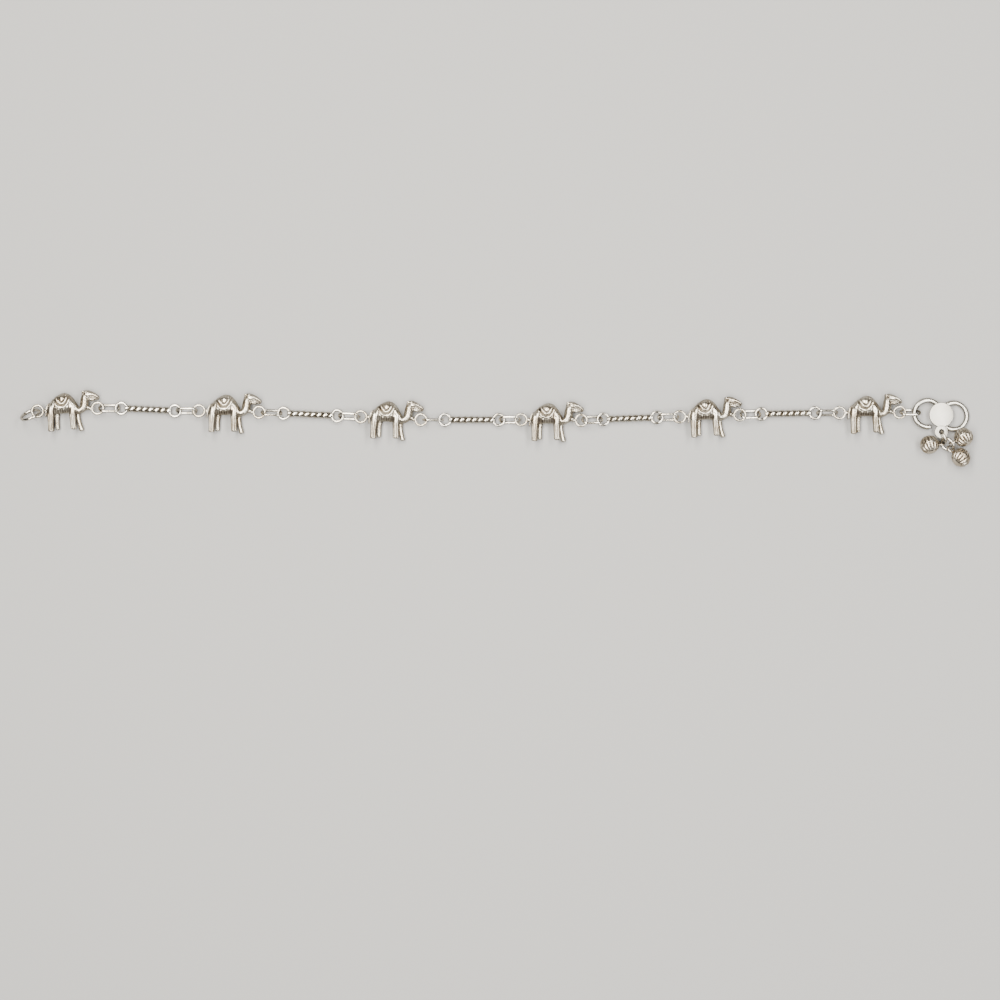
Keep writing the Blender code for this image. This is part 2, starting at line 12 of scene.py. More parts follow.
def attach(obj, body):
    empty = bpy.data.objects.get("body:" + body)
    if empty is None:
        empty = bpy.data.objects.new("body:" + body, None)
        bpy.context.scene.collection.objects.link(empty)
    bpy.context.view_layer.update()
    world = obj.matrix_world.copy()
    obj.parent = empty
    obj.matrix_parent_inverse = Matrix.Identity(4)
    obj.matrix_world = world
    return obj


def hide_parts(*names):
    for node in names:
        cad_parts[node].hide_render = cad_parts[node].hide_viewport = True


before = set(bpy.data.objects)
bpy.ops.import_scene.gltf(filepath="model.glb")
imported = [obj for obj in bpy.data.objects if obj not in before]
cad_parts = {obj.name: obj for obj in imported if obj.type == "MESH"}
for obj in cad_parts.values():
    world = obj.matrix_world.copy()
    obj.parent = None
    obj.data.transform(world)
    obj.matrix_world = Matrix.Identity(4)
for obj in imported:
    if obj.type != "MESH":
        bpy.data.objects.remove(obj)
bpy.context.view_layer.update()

# Table
# A wide pale board with a dull face. It only catches the light and the shadows, and isn't part of
# the anklet.
MM = 0.001
TABLE_SIDE = 1600 * MM
TABLE_COLOUR = (0.33, 0.325, 0.312)
TABLE_ROUGHNESS = 0.9

bpy.ops.object.select_all(action="DESELECT")
bpy.ops.mesh.primitive_plane_add(size=TABLE_SIDE)
table = bpy.context.object
table.name = "table"
table_paint = bpy.data.materials.new("pale table")
table_paint.use_nodes = True
table_shader = table_paint.node_tree.nodes["Principled BSDF"]
table_shader.inputs["Base Color"].default_value = (*TABLE_COLOUR, 1)
table_shader.inputs["Roughness"].default_value = TABLE_ROUGHNESS
table.data.materials.append(table_paint)

# Lights
# Two long strip lights hang beside the camera, across the chain, and a weak light stands in front at
# the right. The room is a dim grey, so that the silver has dark sides as well as bright ones.
ROOM_GREY = (0.07, 0.07, 0.075)
SOFTBOXES = (
    # name, place in metres, tilts in degrees, width and length in metres, watts, warmth
    ("left strip", (-0.17, 0.12, 0.60), (0, -15.8), (0.22, 1.00), 15.0, (1.0, 0.97, 0.92)),
    ("right strip", (0.29, 0.08, 0.60), (0, 25.8), (0.16, 0.70), 7.5, (1.0, 0.98, 0.95)),
    ("fill softbox", (0.45, -0.36, 0.40), (30.9, 48.3), (0.30, 0.30), 2.0, (0.94, 0.97, 1.0)),
)

room = bpy.data.worlds.new("room")
bpy.context.scene.world = room
room.use_nodes = True
room.node_tree.nodes["Background"].inputs["Color"].default_value = (*ROOM_GREY, 1)
for name, place, tilts, (width, length), watts, warmth in SOFTBOXES:
    bpy.ops.object.light_add(type="AREA", location=place)
    softbox = bpy.context.object
    softbox.name = name
    softbox.data.shape = "RECTANGLE"
    softbox.data.size = width
    softbox.data.size_y = length
    softbox.data.energy = watts
    softbox.data.color = warmth
    softbox.rotation_euler = (math.radians(tilts[0]), math.radians(tilts[1]), 0)

# Camera
# It looks straight down, as in the photograph. Its picture is 1000 pixels wide, a pixel is PIXEL wide
# on the table, and the middle of the anklet's outline is at MIDDLE_PIXEL.
PICTURE_PIXELS = 1000
PIXEL = 0.28 * MM
MIDDLE_PIXEL = (496.5, 428.6)
LENS = 90
SENSOR = 36  # millimetres, as the lens

aim_x = (PICTURE_PIXELS / 2 - MIDDLE_PIXEL[0]) * PIXEL
aim_y = (MIDDLE_PIXEL[1] - PICTURE_PIXELS / 2) * PIXEL
camera_height = PICTURE_PIXELS * PIXEL * LENS / SENSOR
bpy.ops.object.camera_add(location=(aim_x, aim_y, camera_height), rotation=(0, 0, 0))
camera = bpy.context.object
camera.data.lens = LENS
camera.data.sensor_width = SENSOR
bpy.context.scene.camera = camera

# End ring
# A plain ring of round silver wire, bent until its two ends meet. It hangs in the first camel's
# tail eyelet, and the clasp hooks into it.
END_RING_OUTER = 6.0 * MM
END_RING_WIRE = 0.8 * MM
WIRE_CORNERS = 14
RING_STEPS = 60
BUTT_GAP = 0.03 * MM
WIRE_CREASE = 40  # degrees past which an edge of a wire or plate stays sharp
WIRE_SILVER = (0.75, 0.71, 0.62)
WIRE_WARM = (0.60, 0.51, 0.37)
# The dark of the oxide, also the colour of the painted shade
OXIDE_AND_SHADE = (0.040, 0.030, 0.024)
# Clouds of wear on all of the silver: cycles in a metre, then where a cloud starts and is full
STAIN_SCALE, STAIN_FROM, STAIN_TO = 420.0, 0.35, 0.70
SPOT_SCALE, SPOT_FROM, SPOT_TO = 1900.0, 0.30, 0.85
SPOT_DULLS = 0.35
# Shares of open sky at which a point starts to darken and is as dark as it gets, for the oxide in
# hollows and for painted shade where a piece lies close to the table or to another piece
HOLLOW_FROM, HOLLOW_TO = 0.84, 0.26
# The oxide is thinner in places: its share between the stains, and what a stain adds
OXIDE_THIN, OXIDE_STAIN = 0.82, 0.22
SCRATCH_SCALE, SCRATCH_STRETCH = 2400.0, 9.0
SCRATCH_STRENGTH, SCRATCH_DEPTH = 0.12, 0.02 * MM
GRAIN_SCALE, GRAIN_STRENGTH = 2600.0, 0.7
# How much painted shade the steep sides get, for each kind of silver, and how fast it fades to the
# top; it also stands for the oxide that the polishing cloth leaves there
SIDE_SHADE = {"wire_silver": 0.85, "cast_silver": 0.75, "satin_silver": 0.75, "bell_silver": 0.50}
SIDE_FADE = 1.4


def silver_finish(name, bright, warm, patina, polish, dullness, recess_depth, cast_grain):
    """Silver that is bright where hands and cloth rub it, and oxidised dark where they don't reach.

    Patina is how much of the warm tone it has. Polish and dullness are its roughness on the high and
    the low places. Recess depth is how near another surface has to be to darken a point, which gives
    the oxide in hollows and also painted shade under the piece and where pieces touch, and cast
    grain the depth of the fine unevenness of its surface."""
    made = bpy.data.materials.new(name)
    made.use_nodes = True
    tree = made.node_tree
    shader = tree.nodes["Principled BSDF"]
    shader.inputs["Metallic"].default_value = 1

    def node(kind, **settings):
        new = tree.nodes.new(kind)
        for key, value in settings.items():
            setattr(new, key, value)
        return new

    def ramp(source, low, high):
        """Source brought from low..high to 0..1."""
        new = node("ShaderNodeMapRange", clamp=True, interpolation_type="SMOOTHSTEP")
        tree.links.new(source, new.inputs["Value"])
        new.inputs["From Min"].default_value = low
        new.inputs["From Max"].default_value = high
        return new.outputs["Result"]

    def combined(kind, *values):
        new = node("ShaderNodeMath", operation=kind, use_clamp=True)
        for socket, value in zip(new.inputs, values):
            if isinstance(value, float):
                socket.default_value = value
            else:
                tree.links.new(value, socket)
        return new.outputs["Value"]

    def cloud(scale, detail=3.0, stretch=(1, 1, 1)):
        place = node("ShaderNodeMapping")
        tree.links.new(node("ShaderNodeTexCoord").outputs["Object"], place.inputs["Vector"])
        place.inputs["Scale"].default_value = stretch
        new = node("ShaderNodeTexNoise")
        tree.links.new(place.outputs["Vector"], new.inputs["Vector"])
        new.inputs["Scale"].default_value = scale
        new.inputs["Detail"].default_value = detail
        return new.outputs["Fac"]

    def painted(layer):
        return node("ShaderNodeAttribute", attribute_name=layer, attribute_type="GEOMETRY").outputs["Fac"]

    def relief(height, strength, distance):
        new = node("ShaderNodeBump")
        new.inputs["Strength"].default_value = strength
        new.inputs["Distance"].default_value = distance
        tree.links.new(height, new.inputs["Height"])
        return new

    stain = ramp(cloud(STAIN_SCALE), STAIN_FROM, STAIN_TO)
    spots = ramp(cloud(SPOT_SCALE), SPOT_FROM, SPOT_TO)
    # Points that other surfaces hide turn dark: the oxide kept in hollows, and painted shade where a
    # piece lies close to the table or to another piece
    near = node("ShaderNodeAmbientOcclusion", samples=4, only_local=False)
    near.inputs["Distance"].default_value = recess_depth
    hollow_oxide_and_shade = ramp(near.outputs["AO"], HOLLOW_FROM, HOLLOW_TO)
    patchy = combined("MULTIPLY_ADD", stain, OXIDE_STAIN, OXIDE_THIN)
    # Where the oxide colour goes: real oxide, and painted shade from the hidden places and from the oxide
    # layer
    dark = combined("MULTIPLY", combined("MAXIMUM", hollow_oxide_and_shade, painted("oxide")), patchy)

    tone = node("ShaderNodeMix", data_type="RGBA")
    tree.links.new(combined("MULTIPLY", stain, patina), tone.inputs["Factor"])
    tone.inputs["A"].default_value = (*bright, 1)
    tone.inputs["B"].default_value = (*warm, 1)
    coat = node("ShaderNodeMix", data_type="RGBA")
    tree.links.new(dark, coat.inputs["Factor"])
    tree.links.new(tone.outputs["Result"], coat.inputs["A"])
    coat.inputs["B"].default_value = (*OXIDE_AND_SHADE, 1)
    tree.links.new(coat.outputs["Result"], shader.inputs["Base Color"])

    rough = node("ShaderNodeMapRange", clamp=True)
    dull = combined("MAXIMUM", painted("matt"), combined("MULTIPLY", spots, SPOT_DULLS))
    tree.links.new(combined("MAXIMUM", dark, dull), rough.inputs["Value"])
    rough.inputs["To Min"].default_value = polish
    rough.inputs["To Max"].default_value = dullness
    tree.links.new(rough.outputs["Result"], shader.inputs["Roughness"])

    fine = relief(cloud(SCRATCH_SCALE, 2.0, (1.0, SCRATCH_STRETCH, 1.0)), SCRATCH_STRENGTH, SCRATCH_DEPTH)
    broad = relief(cloud(GRAIN_SCALE, 4.0), GRAIN_STRENGTH, cast_grain)
    tree.links.new(fine.outputs["Normal"], broad.inputs["Normal"])
    tree.links.new(broad.outputs["Normal"], shader.inputs["Normal"])
    return made


def only(piece):
    """Selects one piece alone and makes it the active one."""
    bpy.ops.object.select_all(action="DESELECT")
    piece.select_set(True)
    bpy.context.view_layer.objects.active = piece


def settle():
    """Moves the place, turn and size of what is selected into its mesh."""
    bpy.ops.object.transform_apply(location=True, rotation=True, scale=True)


def edit_all():
    bpy.ops.object.mode_set(mode="EDIT")
    bpy.ops.mesh.select_all(action="SELECT")


def close_ends(crease=None):
    """Closes the open ends of what is edited, turns its faces out and smooths it up to the crease."""
    bpy.ops.mesh.select_all(action="SELECT")
    bpy.ops.mesh.fill_holes(sides=0)
    bpy.ops.mesh.select_all(action="SELECT")
    bpy.ops.mesh.normals_make_consistent(inside=False)
    bpy.ops.object.mode_set(mode="OBJECT")
    if crease is not None:
        bpy.ops.object.shade_smooth_by_angle(angle=math.radians(crease))


def shape_with(piece, kind, **settings):
    """Gives a piece a modifier with these settings and applies it."""
    modifier = piece.modifiers.new(kind.lower(), kind)
    for key, value in settings.items():
        setattr(modifier, key, value)
    bpy.ops.object.modifier_apply(modifier=modifier.name)


def bent_ring(name, outer, wire):
    """A ring of round wire about the origin, flat on XY, with its two ends butted at +X."""
    bend = (outer - wire) / 2
    gap = BUTT_GAP / bend
    bpy.ops.object.select_all(action="DESELECT")
    bpy.ops.mesh.primitive_circle_add(
        vertices=WIRE_CORNERS, radius=wire / 2, location=(bend, 0, 0), rotation=(math.pi / 2, 0, 0)
    )
    ring = bpy.context.object
    ring.name = name
    settle()
    edit_all()
    bpy.ops.mesh.spin(steps=RING_STEPS, angle=math.tau - gap, center=(0, 0, 0), axis=(0, 0, 1))
    close_ends(WIRE_CREASE)
    return ring


def cad_points(node):
    """The corners of a node of the frame."""
    return np.array([vertex.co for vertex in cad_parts[node].data.vertices])


def lie_of(node):
    """Where a ring or link of the frame lies: its middle, X along its length and Z square to it."""
    points = cad_points(node)
    middle = points.mean(axis=0)
    along, across, upright = np.linalg.svd(points - middle, full_matrices=False)[2]
    along = along * (1 if along[0] > 0 else -1)
    upright = upright * (1 if upright[2] > 0 else -1)
    axes = np.stack((along, np.cross(upright, along), upright))
    turned = (points - middle) @ axes.T
    middle = middle + ((turned.max(axis=0) + turned.min(axis=0)) / 2) @ axes
    lie = Matrix(axes.tolist()).transposed().to_4x4()
    lie.translation = middle
    return lie


def shade_and_oxide_layer(piece):
    """The layer named oxide: how dark each point is, from its oxide and from painted shade, none at
    first.
    """
    layers = piece.data.attributes
    return layers["oxide"] if "oxide" in layers else layers.new("oxide", "FLOAT", "POINT")


def shade_and_oxide_marks(piece):
    marks = np.zeros(len(piece.data.vertices), dtype=np.float32)
    shade_and_oxide_layer(piece).data.foreach_get("value", marks)
    return marks


def paint_shade_and_oxide(piece, marks):
    shade_and_oxide_layer(piece).data.foreach_set("value", np.asarray(marks, dtype=np.float32))


def paint_side_shade(piece, share):
    """Paints shade on the steep sides, standing also for oxide that the polishing cloth hardly reaches.
    """
    marks = shade_and_oxide_marks(piece)
    flat = np.array([vertex.normal.z for vertex in piece.data.vertices]) ** 2
    paint_shade_and_oxide(piece, np.maximum(marks, share * (1 - flat) ** SIDE_FADE))


def set_in_place(piece, lie, node, slot, finish):
    """Puts a finished piece where its node lies in the frame, paints shade on its steep sides and gives
    it its silver.
    """
    only(piece)
    piece.matrix_world = lie
    settle()
    paint_side_shade(piece, SIDE_SHADE[slot])
    piece.data.materials.clear()
    piece.data.materials.append(finish)
    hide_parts(node)
    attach(piece, "root")


def copy_of(piece, name):
    """A copy with a mesh of its own."""
    copied = piece.copy()
    copied.data = piece.data.copy()
    copied.name = name
    bpy.context.scene.collection.objects.link(copied)
    return copied


wire_silver = silver_finish(
    "drawn silver wire", WIRE_SILVER, WIRE_WARM, patina=0.6, polish=0.15, dullness=0.5,
    recess_depth=1.0 * MM, cast_grain=0.005 * MM,
)
end_ring = bent_ring("end_ring_wire", END_RING_OUTER, END_RING_WIRE)
set_in_place(end_ring, lie_of("end_ring"), "end_ring", "wire_silver", wire_silver)

# Oval links
# Each is a length of round wire bent round two pegs, its ends butted halfway along one side. The
# last of them holds the clasp.
LINK_LENGTH = 6.2 * MM
LINK_WIDTH = 3.4 * MM
LINK_WIRE = 0.65 * MM
LINK_BEND_STEPS = 22
OVAL_LINKS = 10

bend = (LINK_WIDTH - LINK_WIRE) / 2
straight = LINK_LENGTH - LINK_WIDTH
bpy.ops.object.select_all(action="DESELECT")
bpy.ops.mesh.primitive_circle_add(
    vertices=WIRE_CORNERS, radius=LINK_WIRE / 2, location=(0, -bend, 0), rotation=(0, math.pi / 2, 0)
)
link = bpy.context.object
settle()
edit_all()
bpy.ops.mesh.extrude_region_move(TRANSFORM_OT_translate={"value": (straight / 2, 0, 0)})
bpy.ops.mesh.spin(steps=LINK_BEND_STEPS, angle=-math.pi, center=(straight / 2, 0, 0), axis=(0, 0, 1))
bpy.ops.mesh.extrude_region_move(TRANSFORM_OT_translate={"value": (-straight, 0, 0)})
bpy.ops.mesh.spin(steps=LINK_BEND_STEPS, angle=-math.pi, center=(-straight / 2, 0, 0), axis=(0, 0, 1))
bpy.ops.mesh.extrude_region_move(TRANSFORM_OT_translate={"value": (straight / 2 - BUTT_GAP, 0, 0)})
close_ends(WIRE_CREASE)
for node in [f"oval_link_{count + 1}" for count in range(OVAL_LINKS)] + ["clasp_link"]:
    set_in_place(copy_of(link, f"{node}_wire"), lie_of(node), node, "wire_silver", wire_silver)
bpy.data.objects.remove(link)

# Twisted bars
# Two thick wires are twisted together, cut to length and rubbed down at the ends, and a flat eyelet
# of thinner wire is soldered to each end.
BAR_SPAN = 15.0 * MM
BAR_DIAMETER = 1.95 * MM
BAR_PITCH = 3.4 * MM
BAR_STRAND = 1.06 * MM
STRAND_CORNERS = 20
STRAND_CREASE = 50
BAR_STEPS = 26  # to one pitch
# The groove between the strands is dark within BAR_GROOVE of the bar's middle
BAR_GROOVE = 0.70 * MM
BAR_GROOVE_FADE = 0.18 * MM
EYELET_OUTER = 3.8 * MM
EYELET_WIRE = 0.66 * MM
EYELET_EDGE = 0.6 * MM
EYELET_SUNK = 0.75  # of its wire, in the end of the bar
SOLDER_BLOB = (0.46 * MM, 0.62 * MM, 0.44 * MM)
SOLDER_CORNERS = 20
SOLDER_ROWS = 12
TWIST_BARS = 5


def eyelet_line(node, span):
    """Where a camel or bar of the frame lies: the middle of its first eyelet, X to its other one."""
    points = cad_points(node)
    first = points[points[:, 0] < points[:, 0].min() + EYELET_EDGE].mean(axis=0)
    last = points[points[:, 0] > points[:, 0].max() - EYELET_EDGE].mean(axis=0)
    along = Vector(last - first).normalized()
    middle = Vector(first + last) / 2
    heading = Matrix.Rotation(math.atan2(along.y, along.x), 4, "Z")
    return Matrix.Translation(middle - along * span / 2) @ heading


def eyelets(span):
    """The two eyelets of a camel or bar, each closed at the side where it is soldered."""
    made = []
    for along, turn in ((0, 0), (span, math.pi)):
        eyelet = bent_ring("eyelet", EYELET_OUTER, EYELET_WIRE)
        eyelet.matrix_world = Matrix.Translation((along, 0, 0)) @ Matrix.Rotation(turn, 4, "Z")
        settle()
        made.append(eyelet)
    return made


def joined(name, pieces):
    """Pieces made one, under the first one's place."""
    bpy.ops.object.select_all(action="DESELECT")
    for piece in pieces:
        piece.select_set(True)
    bpy.context.view_layer.objects.active = pieces[0]
    bpy.ops.object.join()
    bpy.context.object.name = name
    return bpy.context.object


def solder_blob(along, size):
    """A drop of solder on the line between the eyelets."""
    bpy.ops.object.select_all(action="DESELECT")
    bpy.ops.mesh.primitive_uv_sphere_add(
        segments=SOLDER_CORNERS, ring_count=SOLDER_ROWS, radius=1, location=(along, 0, 0)
    )
    blob = bpy.context.object
    blob.name = "solder"
    bpy.ops.transform.resize(value=size)
    settle()
    bpy.ops.object.shade_smooth()
    return blob


rope_start = EYELET_OUTER / 2 - EYELET_WIRE * EYELET_SUNK
rope_length = BAR_SPAN - 2 * rope_start
strand_offset = (BAR_DIAMETER - BAR_STRAND) / 2
# Cut square to the bar, a strand that runs at a slant is wider than its wire
slant = math.hypot(BAR_PITCH, math.tau * strand_offset) / BAR_PITCH
strands = []
for turn in (0, math.pi):
    bpy.ops.object.select_all(action="DESELECT")
    bpy.ops.mesh.primitive_circle_add(
        vertices=STRAND_CORNERS, radius=BAR_STRAND / 2, rotation=(0, math.pi / 2, 0)
    )
    strand = bpy.context.object
    settle()
    edit_all()
    bpy.ops.transform.resize(value=(1, slant, 1))
    bpy.ops.transform.translate(value=(rope_start, 0, strand_offset))
    bpy.ops.object.mode_set(mode="OBJECT")
    strand.rotation_euler.x = turn
    settle()
    turns = rope_length / BAR_PITCH
    steps = round(BAR_STEPS * turns)
    shape_with(
        strand, "SCREW", axis="X", screw_offset=rope_length, angle=-math.tau * turns,
        steps=steps, render_steps=steps,
    )
    edit_all()
    close_ends(STRAND_CREASE)
    depth = [BAR_GROOVE - math.hypot(vertex.co.y, vertex.co.z) for vertex in strand.data.vertices]
    paint_shade_and_oxide(strand, [min(max(value / BAR_GROOVE_FADE, 0), 1) for value in depth])
    strands.append(strand)
solders = [solder_blob(rope_start, SOLDER_BLOB), solder_blob(BAR_SPAN - rope_start, SOLDER_BLOB)]
bar = joined("twist bar", strands + eyelets(BAR_SPAN) + solders)
for count in range(TWIST_BARS):
    node = f"twist_bar_{count + 1}"
    placed = copy_of(bar, f"{node}_rope")
    set_in_place(placed, eyelet_line(node, BAR_SPAN), node, "wire_silver", wire_silver)
bpy.data.objects.remove(bar)

# Camels
# Each is cast in the round from one mould and stands for a caravan camel with a saddle cloth, and
# its eyelets are soldered on at the rump and at the throat. The hollows of the casting are oxidised.
CAMEL_SPAN = 16.8 * MM
CAMELS = 6
CAST_VOXEL = 0.10 * MM
SOFTENED_ROUNDS = 6
FORM_CORNERS = 16
HALF_DEPTH = 2.1 * MM
# Sections of each form, measured from the tail eyelet in steps of PIXEL and its depths in shares of
# HALF_DEPTH: forward, up, direction of its run in degrees, reach across, depth, middle of depth
CAMEL_FORMS = {
    "trunk": (
        (10.9, 2.0, 0, 2.4, 0.46, 0),
        (12.9, 2.2, 0, 5.6, 0.72, 0),
        (16.8, 3.8, 0, 8.0, 0.86, 0),
        (21.6, 5.7, 0, 9.8, 0.90, 0),
        (27.2, 6.9, 0, 10.9, 0.92, 0),
        (32.2, 5.8, -7, 9.9, 0.90, 0),
        (36.2, 2.2, -18, 7.0, 0.86, 0),
        (40.4, -1.5, -12, 4.0, 0.76, 0),
        (44.4, -2.0, 0, 2.4, 0.52, 0),
    ),
    "neck": (
        (39.0, -1.8, -6, 3.2, 0.70, 0),
        (43.2, -1.4, 18, 3.6, 0.70, 0),
        (46.1, 1.1, 52, 4.3, 0.66, 0),
        (47.2, 4.9, 80, 4.6, 0.62, 0),
        (47.6, 9.0, 90, 4.3, 0.58, 0),
        (47.8, 12.6, 86, 3.9, 0.56, 0),
        (48.9, 15.4, 72, 3.0, 0.48, 0),
    ),
    "head": (
        (44.8, 15.0, -4, 1.7, 0.34, 0),
        (46.6, 15.2, -6, 3.2, 0.56, 0),
        (49.4, 14.9, -10, 4.0, 0.62, 0),
        (52.6, 14.0, -18, 4.0, 0.60, 0),
        (55.6, 12.8, -22, 3.6, 0.56, 0),
        (58.4, 11.4, -27, 3.2, 0.52, 0),
        (60.7, 10.1, -32, 2.7, 0.46, 0),
        (62.1, 9.2, -36, 1.8, 0.32, 0),
    ),
    "lower jaw": (
        (51.4, 10.0, -22, 1.7, 0.42, 0),
        (54.4, 8.9, -22, 1.5, 0.40, 0),
        (57.4, 7.8, -24, 1.0, 0.32, 0),
    ),
    "throat": (
        (48.6, 0.8, 10, 3.0, 0.50, 0),
        (51.2, 1.3, 4, 2.0, 0.42, 0),
        (53.6, 0.9, -6, 1.2, 0.30, 0),
    ),
    "near thigh": (
        (15.0, 5.4, -92, 4.2, 0.34, 0.52),
        (14.2, 0.8, -94, 4.3, 0.42, 0.52),
        (13.7, -4.4, -94, 3.7, 0.40, 0.50),
        (13.4, -9.4, -92, 3.1, 0.36, 0.48),
        (13.3, -13.6, -90, 2.9, 0.36, 0.48),
        (13.4, -17.6, -88, 3.0, 0.38, 0.49),
        (13.5, -20.0, -88, 3.2, 0.42, 0.49),
        (13.6, -21.4, -90, 3.2, 0.42, 0.49),
    ),
    "far hind leg": (
        (18.9, 0.8, -90, 3.4, 0.36, -0.44),
        (18.9, -4.4, -91, 2.7, 0.36, -0.46),
        (18.8, -9.4, -90, 2.3, 0.34, -0.47),
        (18.8, -14.2, -89, 2.2, 0.36, -0.48),
        (18.9, -17.6, -89, 2.3, 0.40, -0.48),
        (19.0, -19.8, -90, 2.5, 0.42, -0.48),
    ),
    "near shoulder": (
        (35.9, 5.0, -96, 3.8, 0.34, 0.50),
        (35.6, -0.4, -92, 3.7, 0.42, 0.50),
        (35.2, -5.2, -90, 3.3, 0.40, 0.48),
        (35.4, -10.4, -88, 3.0, 0.37, 0.48),
        (35.7, -14.4, -88, 3.0, 0.37, 0.48),
        (35.9, -17.8, -88, 3.1, 0.40, 0.48),
        (36.1, -20.4, -89, 3.3, 0.42, 0.48),
    ),
    "far foreleg": (
        (39.2, -1.6, -84, 3.3, 0.38, -0.44),
        (39.6, -6.4, -80, 2.4, 0.37, -0.46),
        (40.4, -11.4, -78, 2.2, 0.35, -0.47),
        (41.4, -16.0, -77, 2.3, 0.37, -0.48),
        (42.4, -19.6, -78, 2.6, 0.41, -0.48),
        (43.1, -21.9, -82, 2.9, 0.42, -0.48),
    ),
    "tail": (
        (13.4, 7.2, 160, 1.0, 0.24, 0.10),
        (10.9, 6.0, 215, 1.0, 0.24, 0.12),
        (9.6, 2.2, 258, 0.8, 0.24, 0.14),
        (8.9, -2.0, 262, 0.9, 0.26, 0.14),
        (8.5, -4.8, 266, 1.1, 0.26, 0.14),
        (8.3, -7.0, 268, 0.5, 0.16, 0.14),
    ),
    "near ear": (
        (47.9, 16.6, 158, 0.8, 0.10, 0.36),
        (46.4, 17.2, 162, 1.0, 0.11, 0.40),
        (44.9, 17.6, 168, 0.4, 0.05, 0.40),
    ),
    "far ear": (
        (47.9, 16.6, 158, 0.8, 0.10, -0.36),
        (46.4, 17.2, 162, 1.0, 0.11, -0.40),
        (44.9, 17.6, 168, 0.4, 0.05, -0.40),
    ),
    "saddle cloth": (
        (18.4, 10.6, -4, 2.2, 0.88, 0),
        (21.2, 9.6, -2, 5.6, 0.93, 0),
        (25.2, 9.0, 0, 7.6, 0.94, 0),
        (29.2, 9.0, 0, 7.4, 0.94, 0),
        (32.0, 9.9, 2, 5.2, 0.92, 0),
        (33.8, 10.4, 4, 2.4, 0.86, 0),
    ),
}
